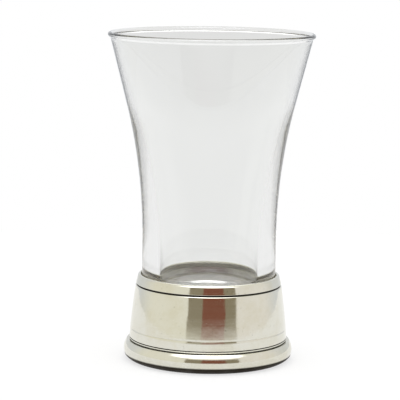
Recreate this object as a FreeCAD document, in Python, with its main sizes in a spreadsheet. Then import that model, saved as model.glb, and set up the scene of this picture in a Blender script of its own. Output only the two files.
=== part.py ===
import FreeCAD, Part
import Sketcher
import math
import os

# A flared shot glass standing in a turned pewter base. Millimetres, +Z up, the origin at the
# middle of the base on the table. Every piece is turned round the Z axis from one outline.

# Driving dimensions: name, size, what it is.
SIZES = [
    ("total_height", 80.0, "table to the top of the rim"),
    ("rim_radius", 25.1, "outside of the bead round the mouth"),
    ("bead_radius", 0.6, "section of the fire-polished bead at the mouth"),
    ("neck_blend", 0.7, "hollow under the bead, outside"),
    ("waist_radius", 16.35, "outside of the glass where the collar holds it"),
    ("straight_run", 8.8, "upright wall between the collar and the flare"),
    ("flare_run", 17.0, "tangent length of the outside flare"),
    ("bore_run", 18.8, "tangent length of the inside flare"),
    ("lower_wall", 4.3, "glass wall round the bottom of the bore"),
    ("floor_thickness", 6.2, "glass under the bore"),
    ("floor_corner", 1.2, "round between the bore and its floor"),
    ("floor_sag", 0.5, "hollow of the bore's floor"),
    ("heel_radius", 2.0, "round at the glass's foot"),
    ("punt_radius", 5.3, "polished pontil hollow under the glass"),
    ("punt_depth", 0.6, "height of that hollow"),
    ("base_height", 21.0, "table to the crest of the collar"),
    ("socket_depth", 8.2, "crest of the collar down to the seat"),
    ("glass_gap", 0.25, "bedding round the glass"),
    ("bedding_thickness", 0.3, "bedding under the glass"),
    ("bedding_drop", 1.6, "crest of the collar down to the bedding"),
    ("bedding_width", 6.0, "width of the bedding under the glass"),
    ("lip_width", 0.65, "collar's lip at its crest"),
    ("crest_round", 0.62, "outer round of the lip"),
    ("crest_ease", 0.13, "inner round of the lip"),
    ("collar_height", 2.2, "crest of the collar down to its seam"),
    ("collar_taper", 0.62, "how much wider the collar is at its seam"),
    ("sleeve_wall", 0.55, "collar's sleeve inside the skirt"),
    ("fit_gap", 0.03, "radial gap of a soldered fit"),
    ("seam_gap", 0.35, "height of the shadow groove under the collar"),
    ("seam_depth", 0.5, "depth of that groove"),
    ("seam_round", 0.32, "round of the skirt's upper edge"),
    ("skirt_wall", 1.3, "wall of the skirt at its foot"),
    ("skirt_spread", 1.27, "how much wider the skirt is at its scribed line"),
    ("skirt_arc", 160.0, "radius of the skirt's slight swell"),
    ("hem_spread", 0.15, "how much wider again it is at its foot"),
    ("scribe_height", 7.95, "upper edge of the scribed line"),
    ("scribe_width", 0.35, "width of the scribed line"),
    ("scribe_depth", 0.1, "depth of the scribed line"),
    ("scribe_lead", 0.1, "steep side of the scribed line"),
    ("seat_thickness", 1.2, "disc under the glass"),
    ("ledge_width", 1.5, "ledge that the seat disc lies on"),
    ("ledge_height", 1.2, "thickness of that ledge"),
    ("foot_height", 4.85, "table to the top of the foot bead"),
    ("foot_arc", 3.7, "radius of the foot bead's face"),
    ("foot_step", 0.61, "foot bead's upper edge outside the skirt"),
    ("foot_spread", 0.49, "foot bead's lower edge outside its upper one"),
    ("foot_lift", 1.2, "table to the foot bead's lower edge"),
    ("tread_inset", 2.35, "edge of the tread inside that lower edge"),
    ("tread_arc", 3.0, "radius of the bead's face where it turns under"),
    ("foot_round", 0.25, "round of the foot bead's upper edge"),
    ("groove_height", 0.2, "each of the two grooves over the foot bead"),
    ("groove_depth", 0.4, "depth of those grooves"),
    ("land_height", 0.3, "fine ring between the two grooves"),
    ("spigot_height", 1.3, "foot ring's spigot inside the skirt"),
    ("spigot_wall", 1.1, "wall of that spigot"),
    ("plate_lap", 0.75, "base plate's edge on the foot ring's ledge"),
    ("plate_thickness", 1.0, "base plate"),
    ("plate_recess", 1.0, "table to the underside of the base plate"),
    ("plate_ring_radius", 11.0, "turned ring on the base plate's underside"),
    ("plate_ring_width", 0.5, "width of that ring"),
    ("plate_ring_depth", 0.15, "depth of that ring"),
    ("centre_mark_radius", 0.6, "lathe's centre mark in a disc"),
    ("centre_mark_depth", 0.4, "depth of that mark"),
    ("solder_leg", 0.75, "leg of a solder fillet inside the base"),
    ("plate_solder_leg", 0.7, "leg of the solder fillet round the base plate"),
]

# Places that follow from the driving dimensions. Names ending in _level are heights over the table.
PLACES = [
    # the base, from the crest of the collar down
    ("seam_level", "Sizes.base_height - Sizes.collar_height"),
    ("collar_bore", "Sizes.waist_radius + Sizes.glass_gap"),
    ("crest_radius", "collar_bore + Sizes.lip_width"),
    ("seam_radius", "crest_radius + Sizes.collar_taper"),
    ("sleeve_radius", "collar_bore + Sizes.sleeve_wall"),
    ("crest_inner_round", "min(Sizes.crest_ease; 0.2 * Sizes.lip_width)"),
    ("crest_flat", "0.95 * (Sizes.lip_width - crest_inner_round)"),
    ("collar_slope", "atan(Sizes.collar_taper / Sizes.collar_height)"),
    ("crest_outer_round", "min(Sizes.crest_round; crest_flat / tan((90 deg - collar_slope) / 2))"),
    ("seat_level", "Sizes.base_height - Sizes.socket_depth"),
    ("ledge_level", "seat_level - Sizes.seat_thickness"),
    ("ledge_foot_level", "ledge_level - Sizes.ledge_height"),
    ("skirt_bore", "sleeve_radius + Sizes.fit_gap"),
    ("seat_radius", "skirt_bore - Sizes.fit_gap"),
    ("ledge_bore", "skirt_bore - Sizes.ledge_width"),
    ("seam_root", "seam_radius - Sizes.seam_depth"),
    ("skirt_top_level", "seam_level - Sizes.seam_gap"),
    ("scribe_radius", "seam_radius + Sizes.skirt_spread"),
    ("hem_radius", "scribe_radius + Sizes.hem_spread"),
    ("hem_bore", "hem_radius - Sizes.skirt_wall"),
    # the foot, from the table up
    ("lower_groove_level", "Sizes.foot_height + Sizes.groove_height"),
    ("land_level", "lower_groove_level + Sizes.land_height"),
    ("hem_level", "land_level + Sizes.groove_height"),
    ("groove_root", "hem_radius - Sizes.groove_depth"),
    ("foot_edge", "hem_radius + Sizes.foot_step"),
    ("foot_underedge", "foot_edge + Sizes.foot_spread"),
    ("foot_tread", "foot_underedge - Sizes.tread_inset"),
    ("spigot_radius", "hem_bore - Sizes.fit_gap"),
    ("spigot_level", "hem_level + Sizes.spigot_height"),
    ("fillet_top", "spigot_level + Sizes.solder_leg"),
    (
        "chamber_level",
        "max(ledge_foot_level - (hem_bore - ledge_bore); fillet_top + Sizes.fit_gap)",
    ),
    ("foot_bore", "spigot_radius - Sizes.spigot_wall"),
    ("plate_radius", "foot_bore + Sizes.plate_lap"),
    ("plate_bore", "plate_radius + Sizes.fit_gap"),
    ("plate_level", "Sizes.plate_recess + Sizes.plate_thickness"),
    # the glass
    ("glass_foot_level", "seat_level + Sizes.bedding_thickness"),
    ("heel_level", "glass_foot_level + Sizes.heel_radius"),
    ("heel_inset", "Sizes.waist_radius - Sizes.heel_radius"),
    ("punt_arc", "(Sizes.punt_radius ^ 2 + Sizes.punt_depth ^ 2) / (2 * Sizes.punt_depth)"),
    ("floor_level", "glass_foot_level + Sizes.floor_thickness"),
    ("bore_radius", "Sizes.waist_radius - Sizes.lower_wall"),
    ("floor_radius", "bore_radius - Sizes.floor_corner"),
    ("floor_arc", "(floor_radius ^ 2 + Sizes.floor_sag ^ 2) / (2 * Sizes.floor_sag)"),
    ("bead_ring", "Sizes.rim_radius - Sizes.bead_radius"),
    ("bead_level", "Sizes.total_height - Sizes.bead_radius"),
    ("neck_level", "bead_level - Sizes.bead_radius"),
    ("flare_level", "Sizes.base_height + Sizes.straight_run"),
    ("flare_corner", "flare_level + Sizes.flare_run"),
    ("flare_angle", "atan((bead_ring - Sizes.waist_radius) / (neck_level - flare_corner))"),
    ("flare_arc", "Sizes.flare_run / tan(flare_angle / 2)"),
    ("flare_end_radius", "Sizes.waist_radius + Sizes.flare_run * sin(flare_angle)"),
    ("flare_end_level", "flare_corner + Sizes.flare_run * cos(flare_angle)"),
    ("bore_level", "floor_level + Sizes.floor_corner"),
    ("bore_corner", "bore_level + Sizes.bore_run"),
    ("bore_reach", "sqrt((bead_ring - bore_radius) ^ 2 + (bead_level - bore_corner) ^ 2)"),
    ("bore_slant", "atan((bead_ring - bore_radius) / (bead_level - bore_corner))"),
    ("bore_angle", "bore_slant - asin(Sizes.bead_radius / bore_reach)"),
    ("bore_arc", "Sizes.bore_run / tan(bore_angle / 2)"),
    ("bore_end_radius", "bore_radius + Sizes.bore_run * sin(bore_angle)"),
    ("bore_end_level", "bore_corner + Sizes.bore_run * cos(bore_angle)"),
    ("lip_radius", "bead_ring - Sizes.bead_radius * cos(bore_angle)"),
    ("lip_level", "bead_level + Sizes.bead_radius * sin(bore_angle)"),
    ("bedding_level", "Sizes.base_height - Sizes.bedding_drop"),
    ("bedding_inner", "heel_inset - Sizes.bedding_width"),
]

POSITION_TOLERANCE = 1e-4
GROOVE_MARGIN = 1.0  # how far a cutting outline stands clear of the face that it cuts

doc = FreeCAD.newDocument("ShotGlass")
sizes = doc.addObject("Spreadsheet::Sheet", "Sizes")
for row, (alias, size, note) in enumerate(SIZES, start=1):
    sizes.set(f"A{row}", note)
    sizes.set(f"B{row}", str(size))
    sizes.setAlias(f"B{row}", alias)
doc.recompute()

places = doc.addObject("Spreadsheet::Sheet", "Places")
for row, (alias, formula) in enumerate(PLACES, start=1):
    places.set(f"A{row}", alias.replace("_", " "))
    places.set(f"B{row}", "=" + formula)
    places.setAlias(f"B{row}", alias)
doc.recompute()


def number(expression):
    """The value of an expression, in millimetres."""
    return float(places.evalExpression(expression))


def origin_part(body, role):
    return next(f for f in body.Origin.OriginFeatures if f.Role == role)


def corner(radius, level, arc=None, side=1):
    """A corner of an outline. arc is the radius of the curve to the next corner, which bulges
    to the right of the way round for side 1, and to the left for side -1."""
    return {"radius": radius, "level": level, "arc": arc, "side": side}


def edge_between(start, end, arc, side):
    """The line or the minor arc from one corner to the next."""
    if arc is None:
        return Part.LineSegment(start, end)
    chord = end - start
    bulge = arc - math.sqrt(max(arc * arc - (chord.Length / 2) ** 2, 0.0))
    right = FreeCAD.Vector(chord.y, -chord.x, 0).normalize()
    middle = (start + end) * 0.5 + right * (bulge * side)
    return Part.Arc(start, middle, end)


def add_sketch(body, name, corners):
    """A closed outline in the XZ plane, its corners held by expressions, going anticlockwise."""
    sketch = body.newObject("Sketcher::SketchObject", name)
    sketch.AttachmentSupport = [(origin_part(body, "XZ_Plane"), "")]
    sketch.MapMode = "FlatFace"
    points = [FreeCAD.Vector(number(c["radius"]), number(c["level"]), 0) for c in corners]
    count = len(corners)
    ends = []  # (start point, end point) of each edge: a 3-point arc may be stored the other way
    for i, c in enumerate(corners):
        arc = None if c["arc"] is None else number(c["arc"])
        sketch.addGeometry(edge_between(points[i], points[(i + 1) % count], arc, c["side"]))
        turned = (sketch.getPoint(i, 1) - points[i]).Length > POSITION_TOLERANCE
        ends.append((2, 1) if turned else (1, 2))
    for i, c in enumerate(corners):
        before = (i - 1) % count
        sketch.addConstraint(
            Sketcher.Constraint("Coincident", before, ends[before][1], i, ends[i][0])
        )
        for kind, axis, place in (
            ("DistanceX", -2, c["radius"]),
            ("DistanceY", -1, c["level"]),
        ):
            if place == "0":
                sketch.addConstraint(Sketcher.Constraint("PointOnObject", i, ends[i][0], axis))
                continue
            held = sketch.addConstraint(
                Sketcher.Constraint(kind, i, ends[i][0], number(place))
            )
            sketch.setExpression(f"Constraints[{held}]", place)
        if c["arc"] is not None:
            held = sketch.addConstraint(Sketcher.Constraint("Radius", i, number(c["arc"])))
            sketch.setExpression(f"Constraints[{held}]", c["arc"])
    return sketch


def turned_body(name, corners):
    """A body turned round the Z axis from its outline."""
    body = doc.addObject("PartDesign::Body", name)
    body.Label = name
    sketch = add_sketch(body, name + "_outline", corners)
    turning = body.newObject("PartDesign::Revolution", name + "_turning")
    turning.Profile = sketch
    turning.ReferenceAxis = (sketch, ["V_Axis"])
    turning.Angle = 360.0
    sketch.Visibility = False
    doc.recompute()
    return body


def cut_round(body, name, corners):
    """Turns a groove into a body, and checks that it takes material away."""
    before = body.Shape.Volume
    sketch = add_sketch(body, name + "_outline", corners)
    groove = body.newObject("PartDesign::Groove", name)
    groove.Profile = sketch
    groove.ReferenceAxis = (sketch, ["V_Axis"])
    groove.Angle = 360.0
    sketch.Visibility = False
    doc.recompute()
    if not body.Shape.Volume < before:
        raise RuntimeError(f"{name} cuts nothing")


def round_edge(body, name, radius, level, size):
    """Rounds the circular edge of that radius and level."""
    base = body.Tip
    found = [
        f"Edge{i}"
        for i, edge in enumerate(base.Shape.Edges, start=1)
        if not edge.Degenerated
        and isinstance(edge.Curve, Part.Circle)
        and abs(edge.Curve.Radius - number(radius)) < POSITION_TOLERANCE
        and abs(edge.Curve.Center.z - number(level)) < POSITION_TOLERANCE
    ]
    if len(found) != 1:
        raise RuntimeError(f"{name}: {len(found)} edges at that place")
    fillet = body.newObject("PartDesign::Fillet", name)
    fillet.Base = (base, found)
    fillet.Radius = number(size)
    fillet.setExpression("Radius", size)
    doc.recompute()


def centre_mark(body, name, level, up):
    """The small cone that the lathe's centre leaves in a disc's upper or lower face."""
    sign = "-" if up else "+"
    clear = "+" if up else "-"
    corners = [
        corner("0", f"{level} {sign} Sizes.centre_mark_depth"),
        corner("Sizes.centre_mark_radius", level),
        corner("Sizes.centre_mark_radius", f"{level} {clear} {GROOVE_MARGIN}"),
        corner("0", f"{level} {clear} {GROOVE_MARGIN}"),
    ]
    cut_round(body, name, corners)


def solder_ring(name, radius, level, leg, outward, upward):
    """A hollow-faced fillet of solder in the corner at that radius and level."""
    along = "+" if outward else "-"
    over = "+" if upward else "-"
    side = 1 if outward != upward else -1
    turned_body(
        name,
        [
            corner(radius, level),
            corner(f"{radius} {along} {leg}", level, arc=leg, side=side),
            corner(radius, f"{level} {over} {leg}"),
        ],
    )


def glass_tumbler():
    """The flared glass: thick round the bottom of its bore, thin at the mouth."""
    body = turned_body(
        "glass_tumbler",
        [
            corner(
                "0", "Places.glass_foot_level + Sizes.punt_depth", arc="Places.punt_arc", side=-1
            ),
            corner("Sizes.punt_radius", "Places.glass_foot_level"),
            corner("Places.heel_inset", "Places.glass_foot_level", arc="Sizes.heel_radius"),
            corner("Sizes.waist_radius", "Places.heel_level"),
            corner("Sizes.waist_radius", "Places.flare_level", arc="Places.flare_arc", side=-1),
            corner("Places.flare_end_radius", "Places.flare_end_level"),
            corner("Places.bead_ring", "Places.neck_level", arc="Sizes.bead_radius"),
            corner("Sizes.rim_radius", "Places.bead_level", arc="Sizes.bead_radius"),
            corner("Places.bead_ring", "Sizes.total_height", arc="Sizes.bead_radius"),
            corner("Places.lip_radius", "Places.lip_level"),
            corner("Places.bore_end_radius", "Places.bore_end_level", arc="Places.bore_arc"),
            corner(
                "Places.bore_radius", "Places.bore_level", arc="Sizes.floor_corner", side=-1
            ),
            corner("Places.floor_radius", "Places.floor_level", arc="Places.floor_arc", side=-1),
            corner("0", "Places.floor_level - Sizes.floor_sag"),
        ],
    )
    round_edge(body, "neck", "Places.bead_ring", "Places.neck_level", "Sizes.neck_blend")


def bedding_ring():
    """The clear bedding that holds the glass in its socket, under its foot and round its heel."""
    turned_body(
        "bedding_ring",
        [
            corner("Places.bedding_inner", "Places.seat_level"),
            corner("Places.collar_bore", "Places.seat_level"),
            corner("Places.collar_bore", "Places.bedding_level"),
            corner("Sizes.waist_radius", "Places.bedding_level"),
            corner(
                "Sizes.waist_radius", "Places.heel_level", arc="Sizes.heel_radius", side=-1
            ),
            corner("Places.heel_inset", "Places.glass_foot_level"),
            corner("Places.bedding_inner", "Places.glass_foot_level"),
        ],
    )


def collar_ring():
    """The collar: a rounded lip round the glass, and a sleeve that goes down inside the skirt."""
    body = turned_body(
        "collar_ring",
        [
            corner("Places.collar_bore", "Places.seat_level"),
            corner("Places.sleeve_radius", "Places.seat_level"),
            corner("Places.sleeve_radius", "Places.seam_level"),
            corner("Places.seam_radius", "Places.seam_level"),
            corner("Places.crest_radius", "Sizes.base_height"),
            corner("Places.collar_bore", "Sizes.base_height"),
        ],
    )
    round_edge(
        body, "lip_outer", "Places.crest_radius", "Sizes.base_height", "Places.crest_outer_round"
    )
    round_edge(
        body, "lip_inner", "Places.collar_bore", "Sizes.base_height", "Places.crest_inner_round"
    )


def base_skirt():
    """The tapered skirt, with a scribed line round it and a ledge inside for the seat disc."""
    scribe_root = "Places.scribe_radius - Sizes.scribe_depth"
    body = turned_body(
        "base_skirt",
        [
            corner("Places.hem_bore", "Places.hem_level"),
            corner("Places.hem_radius", "Places.hem_level"),
            corner("Places.scribe_radius", "Sizes.scribe_height - Sizes.scribe_width"),
            corner(scribe_root, "Sizes.scribe_height - Sizes.scribe_lead"),
            corner("Places.scribe_radius", "Sizes.scribe_height", arc="Sizes.skirt_arc"),
            corner("Places.seam_radius", "Places.skirt_top_level"),
            corner("Places.seam_root", "Places.skirt_top_level"),
            corner("Places.seam_root", "Places.seam_level"),
            corner("Places.skirt_bore", "Places.seam_level"),
            corner("Places.skirt_bore", "Places.ledge_level"),
            corner("Places.ledge_bore", "Places.ledge_level"),
            corner("Places.ledge_bore", "Places.ledge_foot_level"),
            corner("Places.hem_bore", "Places.chamber_level"),
        ],
    )
    round_edge(
        body, "skirt_shoulder", "Places.seam_radius", "Places.skirt_top_level", "Sizes.seam_round"
    )


def seat_disc():
    """The disc on the skirt's ledge that the glass stands on."""
    body = turned_body(
        "seat_disc",
        [
            corner("0", "Places.ledge_level"),
            corner("Places.seat_radius", "Places.ledge_level"),
            corner("Places.seat_radius", "Places.seat_level"),
            corner("0", "Places.seat_level"),
        ],
    )
    centre_mark(body, "seat_centre_mark", "Places.seat_level", up=True)


def foot_ring():
    """The foot: a bead with two fine grooves over it, and a spigot that goes up inside the skirt."""
    body = turned_body(
        "foot_ring",
        [
            corner("Places.plate_bore", "0"),
            corner("Places.foot_tread", "0", arc="Sizes.tread_arc"),
            corner("Places.foot_underedge", "Sizes.foot_lift", arc="Sizes.foot_arc"),
            corner("Places.foot_edge", "Sizes.foot_height"),
            corner("Places.groove_root", "Sizes.foot_height"),
            corner("Places.groove_root", "Places.lower_groove_level"),
            corner("Places.hem_radius", "Places.lower_groove_level"),
            corner("Places.hem_radius", "Places.land_level"),
            corner("Places.groove_root", "Places.land_level"),
            corner("Places.groove_root", "Places.hem_level"),
            corner("Places.spigot_radius", "Places.hem_level"),
            corner("Places.spigot_radius", "Places.spigot_level"),
            corner("Places.foot_bore", "Places.spigot_level"),
            corner("Places.foot_bore", "Places.plate_level"),
            corner("Places.plate_bore", "Places.plate_level"),
        ],
    )
    round_edge(
        body, "foot_edge_round", "Places.foot_edge", "Sizes.foot_height", "Sizes.foot_round"
    )


def base_plate():
    """The disc that closes the base, recessed so that only the foot's bead meets the table."""
    body = turned_body(
        "base_plate",
        [
            corner("0", "Sizes.plate_recess"),
            corner("Places.plate_radius", "Sizes.plate_recess"),
            corner("Places.plate_radius", "Places.plate_level"),
            corner("0", "Places.plate_level"),
        ],
    )
    ring_outer = "Sizes.plate_ring_radius + Sizes.plate_ring_width"
    ring_root = "Sizes.plate_recess + Sizes.plate_ring_depth"
    ring_clear = f"Sizes.plate_recess - {GROOVE_MARGIN / 2}"
    cut_round(
        body,
        "plate_ring",
        [
            corner("Sizes.plate_ring_radius", ring_clear),
            corner(ring_outer, ring_clear),
            corner(ring_outer, ring_root),
            corner("Sizes.plate_ring_radius", ring_root),
        ],
    )


def solder_rings():
    """The three fillets of solder that close the base's joints."""
    solder_ring(
        "seat_solder",
        "Places.ledge_bore",
        "Places.ledge_level",
        "Sizes.solder_leg",
        outward=False,
        upward=False,
    )
    solder_ring(
        "foot_solder",
        "Places.hem_bore",
        "Places.spigot_level",
        "Sizes.solder_leg",
        outward=False,
        upward=True,
    )
    solder_ring(
        "plate_solder",
        "Places.plate_bore",
        "Sizes.plate_recess",
        "Sizes.plate_solder_leg",
        outward=False,
        upward=False,
    )


def check(bodies):
    """Stops the script if any object failed, or a piece isn't one sound solid."""
    for obj in doc.Objects:
        if "Invalid" in obj.State or "Error" in obj.State:
            raise RuntimeError(f"{obj.Name} failed: {obj.State}")
    for body in bodies:
        shape = body.Shape
        if shape.isNull() or not shape.isValid() or len(shape.Solids) != 1:
            raise RuntimeError(f"{body.Label} isn't one sound solid")


for make in (
    glass_tumbler,
    bedding_ring,
    collar_ring,
    base_skirt,
    seat_disc,
    foot_ring,
    base_plate,
    solder_rings,
):
    make()
doc.recompute()

bodies = [obj for obj in doc.Objects if obj.isDerivedFrom("PartDesign::Body")]
check(bodies)
os.makedirs("parts", exist_ok=True)
for body in bodies:
    body.Shape.exportStep(os.path.join("parts", body.Label + ".step"))
    print(f"{body.Label}: {body.Shape.Volume:.1f} mm3")
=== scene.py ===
# Shot glass: a flared clear glass bedded in a turned pewter base.
# Every piece is turned round the Z axis. The dictionaries hold millimetres and degrees.
import bpy
import bmesh
import math
from mathutils import Matrix, Vector, noise


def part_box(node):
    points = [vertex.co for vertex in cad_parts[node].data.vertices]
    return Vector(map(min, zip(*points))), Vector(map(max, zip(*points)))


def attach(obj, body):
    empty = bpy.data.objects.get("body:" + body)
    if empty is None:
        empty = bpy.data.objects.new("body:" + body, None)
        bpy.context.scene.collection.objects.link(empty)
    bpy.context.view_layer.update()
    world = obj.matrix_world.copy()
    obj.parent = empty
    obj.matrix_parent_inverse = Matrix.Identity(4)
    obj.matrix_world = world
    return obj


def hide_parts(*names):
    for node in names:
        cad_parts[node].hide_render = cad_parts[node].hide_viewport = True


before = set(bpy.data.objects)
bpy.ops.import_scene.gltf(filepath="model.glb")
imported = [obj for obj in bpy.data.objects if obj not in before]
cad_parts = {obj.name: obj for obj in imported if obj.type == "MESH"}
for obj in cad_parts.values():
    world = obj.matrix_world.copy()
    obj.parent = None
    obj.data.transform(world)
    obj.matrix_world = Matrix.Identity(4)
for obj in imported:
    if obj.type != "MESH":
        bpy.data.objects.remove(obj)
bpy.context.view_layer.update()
mm = 0.001
tiny = 1e-6
white = (1.0, 1.0, 1.0, 1)
scene = bpy.context.scene
print("frame loaded")


def arc(centre, radius, start, end, steps):
    # points on a circle in the (radius, height) plane, from one angle to another
    points = []
    for i in range(steps + 1):
        a = math.radians(start + (end - start) * i / steps)
        points.append((centre[0] + radius * math.cos(a), centre[1] + radius * math.sin(a)))
    return points


def bowed(start, end, bow, steps):
    # a shallow arc from start to end that bows to the right of the way by that much
    points = []
    along = (end[0] - start[0], end[1] - start[1])
    for i in range(steps + 1):
        t = i / steps
        lift = 4 * t * (1 - t) * bow / math.hypot(*along)
        points.append((start[0] + along[0] * t + along[1] * lift,
                       start[1] + along[1] * t - along[0] * lift))
    return points


def dished(start, end, steps=10):
    # the shallow curve of a dish that is level on the axis, from rim to middle or middle to rim
    return bowed(start, end, -abs(start[1] - end[1]) / 4, steps)


def eased(corners, degreesPerStep=9):
    # corners are (radius, height) or (radius, height, rounding); each rounding becomes an arc
    points = []
    for i, corner in enumerate(corners):
        rounding = corner[2] if len(corner) > 2 else 0
        here = Vector(corner[:2])
        if not rounding:
            points.append(tuple(here))
            continue
        back = (Vector(corners[i - 1][:2]) - here).normalized()
        on = (Vector(corners[(i + 1) % len(corners)][:2]) - here).normalized()
        half = back.angle(on) / 2
        centre = here + (back + on).normalized() * (rounding / math.sin(half))
        start = here + back * (rounding / math.tan(half)) - centre
        end = here + on * (rounding / math.tan(half)) - centre
        turn = start.angle_signed(end)
        steps = max(2, math.ceil(abs(math.degrees(turn)) / degreesPerStep))
        for k in range(steps + 1):
            points.append(tuple(centre + Matrix.Rotation(-turn * k / steps, 2) @ start))
    return points


def spaced(points, longest):
    # the same outline with no step longer than that
    result = [points[0]]
    for a, b in zip(points, points[1:]):
        pieces = max(1, math.ceil(math.dist(a, b) / longest))
        for k in range(1, pieces + 1):
            result.append((a[0] + (b[0] - a[0]) * k / pieces, a[1] + (b[1] - a[1]) * k / pieces))
    return result


def turned(name, outline, around=256, longest=1.2, shape=None, groundAndShadeAt=None):
    # turns an outline round Z; it is closed, or starts and ends on the axis.
    # shape(angle, radius, height) gives a new radius and height; the other function gives 0 to 1 for a radius
    # and height, which marks the glass's ground edge and the pewter's painted shade
    onAxis = outline[0][0] < tiny
    loop = spaced(outline if onAxis else outline + [outline[0]], longest)
    if not onAxis:
        loop = loop[:-1]
    mesh = bpy.data.meshes.new(name)
    build = bmesh.new()
    groundAndShade = build.verts.layers.float.new("ground_and_painted_shade")
    rings = []
    for radius, height in loop:
        dark = groundAndShadeAt(radius, height) if groundAndShadeAt else 0.0
        ring = []
        for k in range(1 if radius < tiny else around):
            angle = 2 * math.pi * k / around
            r, h = shape(angle, radius, height) if shape and radius > tiny else (radius, height)
            vert = build.verts.new((r * mm * math.cos(angle), r * mm * math.sin(angle), h * mm))
            vert[groundAndShade] = dark
            ring.append(vert)
        rings.append(ring)
    pairs = list(zip(rings, rings[1:] + ([] if onAxis else rings[:1])))
    for low, high in pairs:
        for k in range(around):
            n = (k + 1) % around
            if len(low) == 1:
                build.faces.new((low[0], high[n], high[k]))
            elif len(high) == 1:
                build.faces.new((low[k], low[n], high[0]))
            else:
                build.faces.new((low[k], low[n], high[n], high[k]))
    bmesh.ops.recalc_face_normals(build, faces=build.faces)
    build.to_mesh(mesh)
    build.free()
    mesh.shade_smooth()
    piece = bpy.data.objects.new(name, mesh)
    scene.collection.objects.link(piece)
    return piece


def fit(piece, node, material):
    # puts a finished piece in the frame in place of its CAD node
    piece.data.materials.append(material)
    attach(piece, "root")
    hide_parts(node)
    return piece


class Nodes:
    # a node tree that starts empty, and short ways to add to it
    def __init__(self, tree):
        self.tree = tree
        self.tree.nodes.clear()

    def add(self, kind, **values):
        made = self.tree.nodes.new(kind)
        for key, value in values.items():
            setattr(made, key, value)
        return made

    def join(self, source, target):
        self.tree.links.new(source, target)

    def put(self, target, value):
        if isinstance(value, bpy.types.NodeSocket):
            self.join(value, target)
        else:
            target.default_value = value

    def sum(self, operation, a, b=0.0, clamp=False):
        made = self.add("ShaderNodeMath", operation=operation, use_clamp=clamp)
        self.put(made.inputs[0], a)
        self.put(made.inputs[1], b)
        return made.outputs[0]

    def ramp(self, value, low, high, start=0.0, end=1.0):
        made = self.add("ShaderNodeMapRange", interpolation_type="SMOOTHSTEP")
        for target, given in zip(made.inputs[:5], (value, low, high, start, end)):
            self.put(target, given)
        return made.outputs[0]

    def grain(self, vector, scale, detail=3.0, roughness=0.5):
        made = self.add("ShaderNodeTexNoise")
        self.put(made.inputs["Vector"], vector)
        self.put(made.inputs["Scale"], scale)
        self.put(made.inputs["Detail"], detail)
        self.put(made.inputs["Roughness"], roughness)
        return made.outputs["Fac"]

    def blend(self, share, a, b):
        made = self.add("ShaderNodeMix", data_type="RGBA")
        self.put(made.inputs[0], share)
        self.put(made.inputs[6], a)
        self.put(made.inputs[7], b)
        return made.outputs[2]

    def bump(self, height, distance, under=None):
        made = self.add("ShaderNodeBump")
        self.put(made.inputs["Distance"], distance)
        self.join(height, made.inputs["Height"])
        if under:
            self.join(under, made.inputs["Normal"])
        return made.outputs[0]


class Finish(Nodes):
    # a material whose surface is one principled shader
    def __init__(self, name):
        self.material = bpy.data.materials.new(name)
        self.material.use_nodes = True
        super().__init__(self.material.node_tree)
        self.shader = self.add("ShaderNodeBsdfPrincipled")
        output = self.add("ShaderNodeOutputMaterial")
        self.join(self.shader.outputs[0], output.inputs["Surface"])

    def give(self, name, value):
        self.put(self.shader.inputs[name], value)

    def place(self):
        return self.add("ShaderNodeTexCoord").outputs["Object"]

    def groundAndShade(self):
        # the share that turned() leaves on every corner of a piece: the glass's ground edge, and painted
        # shade on the pewter
        return self.add("ShaderNodeAttribute", attribute_name="ground_and_painted_shade").outputs["Fac"]

    def lathe(self, vector, wander):
        # radius plus height, with a little of the direction round the axis, for marks that run
        # round the piece with no seam
        split = self.add("ShaderNodeSeparateXYZ")
        self.join(vector, split.inputs[0])
        x, y, z = split.outputs
        radius = self.sum("SQRT", self.sum("ADD", self.sum("MULTIPLY", x, x), self.sum("MULTIPLY", y, y)))
        made = self.add("ShaderNodeCombineXYZ")
        self.put(made.inputs[0], self.sum("MULTIPLY", x, wander))
        self.put(made.inputs[1], self.sum("MULTIPLY", y, wander))
        self.join(self.sum("ADD", z, radius), made.inputs[2])
        return made.outputs[0]


def pewterFinish(name, look):
    f = Finish(name)
    where = f.place()
    streaks = f.grain(f.lathe(where, look["wander"]), look["ringsPerMetre"], detail=4.0, roughness=0.6)
    clouds = f.grain(where, look["clouds"], detail=5.0, roughness=0.65)
    specks = f.grain(where, look["specks"], detail=2.0)
    worn = f.blend(f.ramp(clouds, *look["warmFromTo"]), look["bright"], look["warm"])
    worn = f.blend(f.ramp(specks, *look["speckFromTo"], 0.0, look["speckle"]), worn, look["dark"])
    # painted shade: where turned() marks grooves, seams and the foot's underside, the pewter turns
    # near-black, non-metallic and rougher, standing in for the shade and dark reflection there
    groundAndShade = f.sum("MULTIPLY", f.groundAndShade(), f.ramp(clouds, *look["shadeFromTo"], look["shadeThin"], 1.0), clamp=True)
    f.give("Base Color", f.blend(groundAndShade, worn, look["dark"]))
    f.give("Metallic", f.sum("SUBTRACT", 1.0, groundAndShade))
    f.give("Specular IOR Level", look["shadeShine"])
    rough = f.ramp(streaks, *look["ringFromTo"], look["polish"], look["polish"] + look["haze"])
    rough = f.sum("ADD", rough, f.ramp(clouds, *look["hazeFromTo"], 0.0, look["haze"]))
    f.give("Roughness", f.sum("ADD", rough, f.sum("MULTIPLY", groundAndShade, look["shadeRough"]), clamp=True))
    fine = f.bump(streaks, look["ringDepth"] * mm)
    f.give("Normal", f.bump(f.grain(where, look["hammer"], detail=2.5), look["hammerDepth"] * mm, under=fine))
    return f.material


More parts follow.
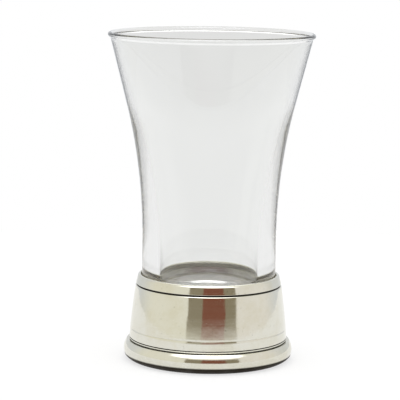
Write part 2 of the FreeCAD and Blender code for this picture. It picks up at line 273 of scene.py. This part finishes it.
# how far the noise has to rise for each mark to start and to be full
marks = {"warmFromTo": (0.38, 0.66), "speckFromTo": (0.66, 0.8), "shadeFromTo": (0.2, 0.6),
         "ringFromTo": (0.3, 0.75), "hazeFromTo": (0.45, 0.8)}
brightPewter = pewterFinish("bright_pewter", {
    "bright": (0.70, 0.69, 0.615, 1), "warm": (0.665, 0.645, 0.545, 1), "dark": (0.016, 0.012, 0.007, 1),
    "polish": 0.05, "haze": 0.06,
    "ringsPerMetre": 2600, "wander": 0.012, "ringDepth": 0.0012,
    "clouds": 150, "specks": 1500, "speckle": 0.22,
    "shadeShine": 0.05, "shadeThin": 0.95, "shadeRough": 0.4,
    "hammer": 330, "hammerDepth": 0.012, **marks,
})
dullPewter = pewterFinish("dull_pewter", {
    "bright": (0.52, 0.505, 0.45, 1), "warm": (0.44, 0.41, 0.35, 1), "dark": (0.05, 0.04, 0.03, 1),
    "polish": 0.26, "haze": 0.12,
    "ringsPerMetre": 1800, "wander": 0.01, "ringDepth": 0.01,
    "clouds": 160, "specks": 900, "speckle": 0.5,
    "shadeShine": 0.1, "shadeThin": 0.8, "shadeRough": 0.4,
    "hammer": 200, "hammerDepth": 0.02, **marks,
})


def glassFinish(look):
    f = Finish("clear_glass")
    where = f.place()
    f.give("Roughness", look["polish"])
    f.give("IOR", look["bend"])
    f.give("Normal", f.bump(f.grain(where, look["waves"], detail=1.0), look["waveDepth"] * mm))
    # the ground edge of the pontil hollow is white and broken
    chips = f.ramp(f.grain(where, look["chips"], detail=2.0), *look["chipFromTo"])
    ground = f.sum("MULTIPLY", f.groundAndShade(), chips)
    f.give("Transmission Weight", f.sum("SUBTRACT", 1.0, ground))
    f.give("Base Color", f.blend(ground, look["tint"], look["frost"]))
    return f.material


clearGlass = glassFinish({"tint": (0.98, 0.985, 0.978, 1), "polish": 0.0, "bend": 1.5,
                          "frost": (0.93, 0.95, 0.97, 1), "chips": 420, "chipFromTo": (0.35, 0.55),
                          "waves": 45, "waveDepth": 0.01})


def beddingFinish(look):
    f = Finish("clear_bedding")
    where = f.place()
    milk = f.grain(where, look["clouds"], detail=3.0)
    split = f.add("ShaderNodeSeparateXYZ")
    f.join(where, split.inputs[0])
    film = f.ramp(split.outputs[2], look["filmFrom"] * mm, look["filmTo"] * mm)
    deep = f.blend(f.ramp(milk, *look["cloudFromTo"]), look["brown"], look["deep"])
    pale = f.blend(milk, look["pale"], look["film"])
    # a painted reflection: the film is redder and darker in a patch behind the middle, standing in for a
    # brown reflection seen there
    inner, outer = (half * mm for half in look["thickHalf"])
    reflectionPatch = f.sum("MULTIPLY", f.ramp(f.sum("ABSOLUTE", split.outputs[0]), inner, outer, 1.0, 0.0),
                   f.ramp(split.outputs[1], 0.0, look["thickBehind"] * mm))
    pale = f.blend(reflectionPatch, pale, look["thick"])
    f.give("Base Color", f.blend(film, deep, pale))
    f.give("Roughness", look["polish"])
    f.give("IOR", look["bend"])
    return f.material


clearBedding = beddingFinish({"pale": (0.68, 0.65, 0.53, 1), "film": (0.56, 0.53, 0.42, 1),
                              "thick": (0.30, 0.20, 0.15, 1), "thickHalf": (4, 9), "thickBehind": 6,
                              "brown": (0.42, 0.37, 0.27, 1), "deep": (0.27, 0.23, 0.16, 1),
                              "filmFrom": 13.6, "filmTo": 15.2, "polish": 0.5, "bend": 1.45,
                              "clouds": 350, "cloudFromTo": (0.35, 0.65)})


def solderFinish(look):
    f = Finish("soft_solder")
    where = f.place()
    frost = f.grain(where, look["frost"], detail=4.0)
    f.give("Base Color", f.blend(frost, look["bright"], look["grey"]))
    f.give("Metallic", 1.0)
    f.give("Roughness", f.ramp(frost, *look["frostFromTo"], look["polish"], look["dull"]))
    f.give("Normal", f.bump(f.grain(where, look["ripples"], detail=2.0), look["rippleDepth"] * mm))
    return f.material


softSolder = solderFinish({"bright": (0.68, 0.68, 0.66, 1), "grey": (0.42, 0.42, 0.41, 1),
                           "frost": 900, "frostFromTo": (0.3, 0.7), "polish": 0.2, "dull": 0.45,
                           "ripples": 700, "rippleDepth": 0.05})
print("finishes made")


glassBowl = {
    "waist": 16.35, "flareStart": 29.8, "flareTangent": 17.0,
    "bead": 0.6, "neck": 0.7,
    "bore": 12.05, "floor": 19.3, "floorCorner": 1.2, "floorSag": 0.5, "boreTangent": 18.8,
    "heel": 2.0, "punt": 5.3, "puntDepth": 0.6, "groundWidth": 0.5, "groundHeight": 0.3,
    "step": 0.7,  # degrees from point to point on the rounded corners
}


def tangentLine(corner, end, tangent):
    # the corner's place and the rounding whose tangent length is that, before a slanted run
    slant = math.atan2(end[0] - corner[0], end[1] - corner[1])
    return (corner[0], corner[1], tangent / math.tan(slant / 2))


def makeGlass():
    g = glassBowl
    low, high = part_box("glass_tumbler")
    foot, top, rim = low.z / mm, high.z / mm, high.x / mm
    ring, beadLevel = rim - g["bead"], top - g["bead"]
    # outside: punt, heel, upright, flare
    punt = dished((0, foot + g["puntDepth"]), (g["punt"], foot))
    neck = (ring, beadLevel - g["bead"])
    flare = tangentLine((g["waist"], g["flareStart"] + g["flareTangent"]), neck, g["flareTangent"])
    outside = eased([(g["punt"], foot), (g["waist"], foot, g["heel"]), flare, neck], g["step"])[1:-1]
    # the neck's hollow touches the flare's line and the bead
    along = (Vector(neck) - Vector(flare[:2])).normalized()
    outward = Vector((along.y, -along.x))
    middle = Vector((ring, beadLevel))
    start = Vector(neck) + outward * g["neck"]
    reach = (start - middle).dot(along)
    gap = (start - middle).length_squared - (g["neck"] + g["bead"]) ** 2
    centre = start - along * (reach + math.sqrt(reach * reach - gap))
    toBead = math.degrees(math.atan2(middle.y - centre.y, middle.x - centre.x))
    toLine = math.degrees(math.atan2(-outward.y, -outward.x)) % 360
    hollow = arc(centre, g["neck"], toLine, toBead, steps=8)
    # inside: the line from the bore's corner that touches the bead
    boreCorner = (g["bore"], g["floor"] + g["floorCorner"] + g["boreTangent"])
    reach = math.dist(boreCorner, middle)
    slant = math.atan2(ring - boreCorner[0], beadLevel - boreCorner[1]) - math.asin(g["bead"] / reach)
    lip = (ring - g["bead"] * math.cos(slant), beadLevel + g["bead"] * math.sin(slant))
    bead = arc(middle, g["bead"], toBead - 180, 180 - math.degrees(slant), steps=30)
    inside = eased([lip, tangentLine(boreCorner, lip, g["boreTangent"]),
                    (g["bore"], g["floor"], g["floorCorner"]), (0, g["floor"])], g["step"])[1:-1]
    floor = dished(inside[-1], (0, g["floor"] - g["floorSag"]))

    def ground(radius, height):
        return float(height < foot + g["groundHeight"] and abs(radius - g["punt"]) < g["groundWidth"])

    return turned("glass_bowl", punt + outside + hollow + bead[1:] + inside[:-1] + floor, around=288,
                  longest=0.8, groundAndShadeAt=ground)


fit(makeGlass(), "glass_tumbler", clearGlass)
print("glass turned")


hand = {"wave": 0.018, "waveScale": 130, "dings": 0.2, "dingFrom": 0.62, "dingScale": 420}


def handWork(angle, radius, height):
    # a finished outer face isn't quite true: it dips in a little, and has a few small dings
    spot = Vector((radius * math.cos(angle), radius * math.sin(angle), height)) * mm
    dip = (1 + noise.noise(spot * hand["waveScale"])) / 2
    ding = max(0.0, noise.noise(spot * hand["dingScale"]) - hand["dingFrom"])
    return radius - hand["wave"] * dip - hand["dings"] * ding, height


collar = {"bore": 16.6, "lip": 0.65, "lipRound": 0.62, "lipEase": 0.13, "height": 2.2, "taper": 0.62,
          "sleeve": 0.55, "edge": 0.1, "shadeOver": 0.05}


def makeCollar():
    c = collar
    low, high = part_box("collar_ring")
    seat, crest = low.z / mm, high.z / mm
    crestRadius = c["bore"] + c["lip"]
    seam = crest - c["height"]
    outline = eased([
        (c["bore"], seat), (c["bore"] + c["sleeve"], seat), (c["bore"] + c["sleeve"], seam),
        (crestRadius + c["taper"], seam, c["edge"]), (crestRadius, crest, c["lipRound"]),
        (c["bore"], crest, c["lipEase"]),
    ])
    # painted shade: below the seam and just above it the collar is blackened, standing in for the shade in
    # the seam groove
    return turned("collar", outline, around=384, longest=0.6, shape=handWork,
                  groundAndShadeAt=lambda radius, height: float(height < seam + c["shadeOver"]))


skirt = {
    "seamRadius": 17.87, "seamDepth": 0.5, "seamRound": 0.32, "seamGap": 0.35, "seamEdge": 0.08,
    "scribeRadius": 19.14, "scribe": 7.95, "scribeWidth": 0.35, "scribeDepth": 0.1, "scribeLead": 0.1,
    "scribeRound": 0.15, "scribeEdge": 0.04, "swell": 0.08, "hem": 19.29, "hemEdge": 0.06, "wall": 1.3,
    "bore": 17.18, "ledge": 15.68, "ledgeTop": 11.6, "ledgeFoot": 10.4, "shadeOver": 0.04, "shadeUnder": 0.02,
}


def makeSkirt():
    s = skirt
    low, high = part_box("base_skirt")
    hem, top = low.z / mm, high.z / mm
    shoulder = top - s["seamGap"]
    seamRoot = s["seamRadius"] - s["seamDepth"]
    hemBore = s["hem"] - s["wall"]
    swell = bowed((s["scribeRadius"], s["scribe"]), (s["seamRadius"], shoulder), s["swell"], steps=12)
    outline = eased([
        (hemBore, hem), (s["hem"], hem, s["hemEdge"]),
        (s["scribeRadius"], s["scribe"] - s["scribeWidth"], s["scribeRound"]),
        (s["scribeRadius"] - s["scribeDepth"], s["scribe"] - s["scribeLead"], s["scribeEdge"]),
        (*swell[0], s["scribeEdge"]), *swell[1:-1], (*swell[-1], s["seamRound"]),
        (seamRoot, shoulder, s["seamEdge"]), (seamRoot, top),
        (s["bore"], top), (s["bore"], s["ledgeTop"]), (s["ledge"], s["ledgeTop"]),
        (s["ledge"], s["ledgeFoot"]), (hemBore, s["ledgeFoot"] - (hemBore - s["ledge"])),
    ])

    # painted shade: black in the seam groove at the top, and at the hem where the skirt stands in the foot
    def paintedShadeAt(radius, height):
        inSeam = height > shoulder - s["shadeUnder"] and radius < s["seamRadius"] - s["seamRound"]
        return float(inSeam or height < hem + s["shadeOver"])

    return turned("skirt", outline, around=384, longest=0.6, shape=handWork, groundAndShadeAt=paintedShadeAt)


foot = {
    "edge": 19.9, "round": 0.25, "height": 4.85, "bow": 0.485, "lift": 1.2, "spread": 0.49,
    "lowEdge": 0.06, "tread": 18.04, "treadBow": 0.3, "treadEdge": 0.04,
    "hem": 19.29, "groove": 0.2, "grooveDepth": 0.4, "land": 0.3, "landEdge": 0.07,
    "spigot": 17.96, "bore": 16.86, "plateBore": 17.64, "plateTop": 2.0, "plateEdge": 0.1,
    "shadeFull": 1.5, "shadeStart": 1.8, "shadeWithin": 0.05,
}


def makeFoot():
    f = foot
    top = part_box("foot_ring")[1].z / mm
    root = f["hem"] - f["grooveDepth"]
    lowGroove = f["height"] + f["groove"]
    land = lowGroove + f["land"]
    hem = land + f["groove"]
    lowEdge = (f["edge"] + f["spread"], f["lift"])
    under = bowed((f["tread"], 0), lowEdge, f["treadBow"], steps=12)
    bead = bowed(lowEdge, (f["edge"], f["height"]), f["bow"], steps=26)
    outline = eased([
        (f["plateBore"], 0, f["plateEdge"]), (*under[0], f["treadEdge"]), *under[1:-1],
        (*bead[0], f["lowEdge"]), *bead[1:-1], (*bead[-1], f["round"]),
        (root, f["height"]), (root, lowGroove), (f["hem"], lowGroove, f["landEdge"]),
        (f["hem"], land, f["landEdge"]), (root, land), (root, hem),
        (f["spigot"], hem), (f["spigot"], top), (f["bore"], top),
        (f["bore"], f["plateTop"]), (f["plateBore"], f["plateTop"]),
    ])

    def paintedShadeAt(radius, height):
        # painted shade: black in the grooves, and darkening where the bead turns under to the table, standing
        # in for the contact shadow and the dark reflection there
        if height > f["height"] - f["shadeWithin"] and radius < f["hem"] - f["shadeWithin"]:
            return 1.0
        return min(1.0, max(0.0, (f["shadeStart"] - height) / (f["shadeStart"] - f["shadeFull"])))

    return turned("foot", outline, around=384, longest=0.5, shape=handWork, groundAndShadeAt=paintedShadeAt)


seat = {"edge": 0.1, "ring": 8.9, "ringWidth": 0.1, "ringDepth": 0.05, "mark": 0.6, "markDepth": 0.4}


def makeSeat():
    s = seat
    low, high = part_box("seat_disc")
    bottom, top, rim = low.z / mm, high.z / mm, high.x / mm
    outline = eased([
        (0, bottom), (rim, bottom, s["edge"]), (rim, top, s["edge"]),
        (s["ring"] + s["ringWidth"], top), (s["ring"], top - s["ringDepth"]),
        (s["ring"] - s["ringWidth"], top), (s["mark"], top), (0, top - s["markDepth"]),
    ])
    return turned("seat", outline, around=192, longest=0.8)


plate = {"edge": 0.1, "ease": 0.05, "ring": 11.0, "ringWidth": 0.5, "ringDepth": 0.15,
         "mark": 0.6, "markDepth": 0.4}


def makePlate():
    p = plate
    low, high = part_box("base_plate")
    bottom, top, rim = low.z / mm, high.z / mm, high.x / mm
    groove = bottom + p["ringDepth"]
    outline = eased([
        (0, bottom + p["markDepth"]), (p["mark"], bottom, p["ease"]),
        (p["ring"], bottom, p["ease"]), (p["ring"], groove),
        (p["ring"] + p["ringWidth"], groove), (p["ring"] + p["ringWidth"], bottom, p["ease"]),
        (rim, bottom, p["edge"]), (rim, top, p["edge"]), (0, top),
    ])
    return turned("closing_plate", outline, around=256, longest=0.8)


# "wet" is how far the bedding reaches into the glass, so that no air shows between them
bedding = {"gap": 0.03, "wet": 0.03, "glass": 16.35, "bore": 16.6, "inner": 8.35, "heel": 2.0,
           "under": 0.3, "hollow": 0.08}


def makeBedding():
    b = bedding
    low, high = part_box("bedding_ring")
    bottom, top = low.z / mm + b["gap"], high.z / mm
    inside, outside = b["glass"] - b["wet"], b["bore"] - b["gap"]
    level = low.z / mm + b["under"] + b["wet"]
    outline = eased([
        (b["inner"], bottom), (outside, bottom), (outside, top), (inside, top - b["hollow"]),
        (inside, level, b["heel"] - b["wet"]), (b["inner"], level),
    ])
    return turned("bedding", outline, around=192, longest=0.8)


solder = {"fill": 0.95, "uneven": 0.12, "lumps": 5}


def solderRun(name, node, upward):
    # a hand-run fillet of solder, a little uneven along its length
    low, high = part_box(node)
    radius, bottom, top = high.x / mm, low.z / mm, high.z / mm
    leg = (top - bottom) * solder["fill"]
    level, sign = (bottom, 1) if upward else (top, -1)
    # its face is a hollow quarter circle
    outline = [(radius, level)] + [
        (radius - leg * (1 - math.sin(a)), level + sign * leg * (1 - math.cos(a)))
        for a in (math.radians(d) for d in range(0, 91, 10))]

    def uneven(angle, r, z):
        spot = Vector((math.cos(angle), math.sin(angle), 0.0)) * solder["lumps"]
        share = 1 - solder["uneven"] * (1 + noise.noise(spot))
        return radius + (r - radius) * share, level + (z - level) * share

    return turned(name, outline, around=192, shape=uneven)


fit(makeCollar(), "collar_ring", brightPewter)
fit(makeSkirt(), "base_skirt", brightPewter)
fit(makeFoot(), "foot_ring", brightPewter)
fit(makeSeat(), "seat_disc", dullPewter)
fit(makePlate(), "base_plate", dullPewter)
fit(makeBedding(), "bedding_ring", clearBedding)
fit(solderRun("seat_joint", "seat_solder", False), "seat_solder", softSolder)
fit(solderRun("foot_joint", "foot_solder", True), "foot_solder", softSolder)
fit(solderRun("plate_joint", "plate_solder", False), "plate_solder", softSolder)
print("base turned")


table = {"radius": 200, "around": 96, "paper": (0.32, 0.32, 0.32, 1), "polish": 0.9, "glow": 0.66}


def makeTable():
    mesh = bpy.data.meshes.new("table")
    build = bmesh.new()
    bmesh.ops.create_circle(build, cap_ends=True, radius=table["radius"] * mm, segments=table["around"])
    build.to_mesh(mesh)
    build.free()
    piece = bpy.data.objects.new("table", mesh)
    scene.collection.objects.link(piece)
    f = Finish("pale_paper")
    f.give("Base Color", table["paper"])
    f.give("Roughness", table["polish"])
    f.give("Specular IOR Level", 0.0)
    f.give("Emission Color", white)  # lit from below, as a light table is
    f.give("Emission Strength", table["glow"])
    piece.data.materials.append(f.material)
    piece.visible_transmission = False  # what the glass sees is the studio's "through"


# directions in degrees: azimuth 0 is the side the glass is looked at from, + towards +X; height is
# above the table. A pair of angles is where a change starts and where it is complete
studio = {
    "tableLight": 1.2,
    "warmSide": (0.975, 0.957, 0.862, 1), "paleSide": (0.985, 0.957, 0.925, 1), "warmToPale": (-20, 20),
    "coolSide": (0.81, 0.83, 0.86, 1), "coolFromTo": (90, 134),
    "overhead": (4.0, 4.0, 4.1, 1), "overheadFromTo": (32, 44),
    "overSide": (0.95, 0.94, 0.86, 1), "overSideFromTo": (40, 68),
    "screen": (-31, 44), "screenHeights": (-1.3, 27), "soft": 1.0, "footSoft": 3.5,
    "screenEdge": (0.33, 0.29, 0.21, 1), "screenMiddle": (0.26, 0.105, 0.07, 1), "middle": (-8, 25),
    "wobble": 2.0, "wobbleLow": 16.0, "wobbleFromTo": (0, 6), "wobbleScale": 9.0,
    "cardAt": 67.5, "cardHalf": 4.5, "cardSoft": 3, "cardHeights": (-18, -2), "cardHeightSoft": 2,
    "cardLeft": (0.62, 0.62, 0.62, 1), "cardRight": (0.42, 0.42, 0.42, 1), "cardChange": (-1, 1),
    "backdrop": 0.855,  # then its changes with height
    "backdropChanges": ((-12, -8, -0.045), (-9, -4, -0.035), (2, 12, 0.225), (28, 50, 1.0)),
    "dip": (172, 177, -0.03),
}


def makeStudio():
    world = bpy.data.worlds.new("studio")
    scene.world = world
    world.use_nodes = True
    world.cycles.sampling_method = "NONE"
    f = Nodes(world.node_tree)
    s = studio
    toward = f.add("ShaderNodeTexCoord").outputs["Generated"]
    split = f.add("ShaderNodeSeparateXYZ")
    f.join(toward, split.inputs[0])
    x, y, z = split.outputs
    azimuth = f.sum("MULTIPLY", f.sum("ARCTAN2", x, f.sum("MULTIPLY", y, -1.0)), math.degrees(1))
    away = f.sum("ABSOLUTE", azimuth)
    height = f.sum("MULTIPLY", f.sum("ARCSINE", z), math.degrees(1))

    def between(value, edges, soft, lowSoft=None):
        low, high = edges
        lowSoft = lowSoft or soft
        return f.sum("MULTIPLY", f.ramp(value, low - lowSoft, low + lowSoft),
                     f.ramp(value, high - soft, high + soft, 1.0, 0.0))

    # a dark screen before the glass, its middle warmer and its edges less true low down
    ripple = f.sum("SUBTRACT", f.grain(toward, s["wobbleScale"], detail=4.0), 0.5)
    ripple = f.sum("MULTIPLY", ripple, f.ramp(height, *s["wobbleFromTo"], s["wobbleLow"], s["wobble"]))
    unsteady = f.sum("ADD", azimuth, ripple)
    screen = f.sum("MULTIPLY", between(unsteady, s["screen"], s["soft"]),
                   between(height, s["screenHeights"], s["soft"], s["footSoft"]))
    dark = f.blend(between(unsteady, s["middle"], s["soft"]), s["screenEdge"], s["screenMiddle"])
    # pale walls round it, and a bright ceiling over its side
    walls = f.blend(f.ramp(azimuth, *s["warmToPale"]), s["warmSide"], s["paleSide"])
    walls = f.blend(f.ramp(away, *s["coolFromTo"]), walls, s["coolSide"])
    ceiling = f.blend(f.ramp(away, *s["overSideFromTo"]), s["overhead"], s["overSide"])
    walls = f.blend(f.ramp(height, *s["overheadFromTo"]), walls, ceiling)
    seen = f.blend(screen, walls, dark)

    # what shows through the glass: a backdrop, and upright cards at the sides and behind
    def card(middle):
        return between(away, (middle - s["cardHalf"], middle + s["cardHalf"]), s["cardSoft"])

    cards = f.sum("MAXIMUM", card(s["cardAt"]), card(180 - s["cardAt"]))
    cards = f.sum("MULTIPLY", cards, between(height, s["cardHeights"], s["cardHeightSoft"]))
    backdrop = s["backdrop"]
    for low, high, change in s["backdropChanges"]:
        backdrop = f.sum("ADD", backdrop, f.ramp(height, low, high, 0.0, change))
    low, high, change = s["dip"]
    backdrop = f.sum("ADD", backdrop, f.ramp(away, low, high, 0.0, change))
    cardGrey = f.blend(f.ramp(azimuth, *s["cardChange"]), s["cardRight"], s["cardLeft"])
    through = f.blend(cards, backdrop, cardGrey)

    path = f.add("ShaderNodeLightPath").outputs
    light = s["tableLight"]
    colour = f.blend(path["Is Glossy Ray"], white, seen)
    colour = f.blend(path["Is Diffuse Ray"], colour, (light, light, light, 1))
    colour = f.blend(path["Is Transmission Ray"], colour, through)
    shader = f.add("ShaderNodeBackground")
    f.join(colour, shader.inputs["Color"])
    output = f.add("ShaderNodeOutputWorld")
    f.join(shader.outputs[0], output.inputs["Surface"])


view = {"distance": 500, "height": 112, "aim": 40, "angle": 11.03, "roll": 0.8,
        "shiftX": -0.0244, "shiftY": -0.0084, "near": 10, "far": 50000}


def makeCamera():
    data = bpy.data.cameras.new("camera")
    camera = bpy.data.objects.new("camera", data)
    scene.collection.objects.link(camera)
    place = Vector((0, -view["distance"], view["height"])) * mm
    aim = Vector((0, 0, view["aim"])) * mm
    turn = (aim - place).to_track_quat("-Z", "Y").to_matrix().to_4x4()
    roll = Matrix.Rotation(math.radians(view["roll"]), 4, "Z")
    camera.matrix_world = Matrix.Translation(place) @ turn @ roll
    data.angle = math.radians(view["angle"])
    data.shift_x, data.shift_y = view["shiftX"], view["shiftY"]
    data.clip_start, data.clip_end = view["near"] * mm, view["far"] * mm
    scene.camera = camera


makeTable()
makeStudio()
makeCamera()
scene.view_settings.view_transform = "Standard"
# the glass has many faces for light to cross and turn back from
scene.cycles.max_bounces = 32
scene.cycles.transmission_bounces = 32
scene.cycles.glossy_bounces = 24
print("studio set")
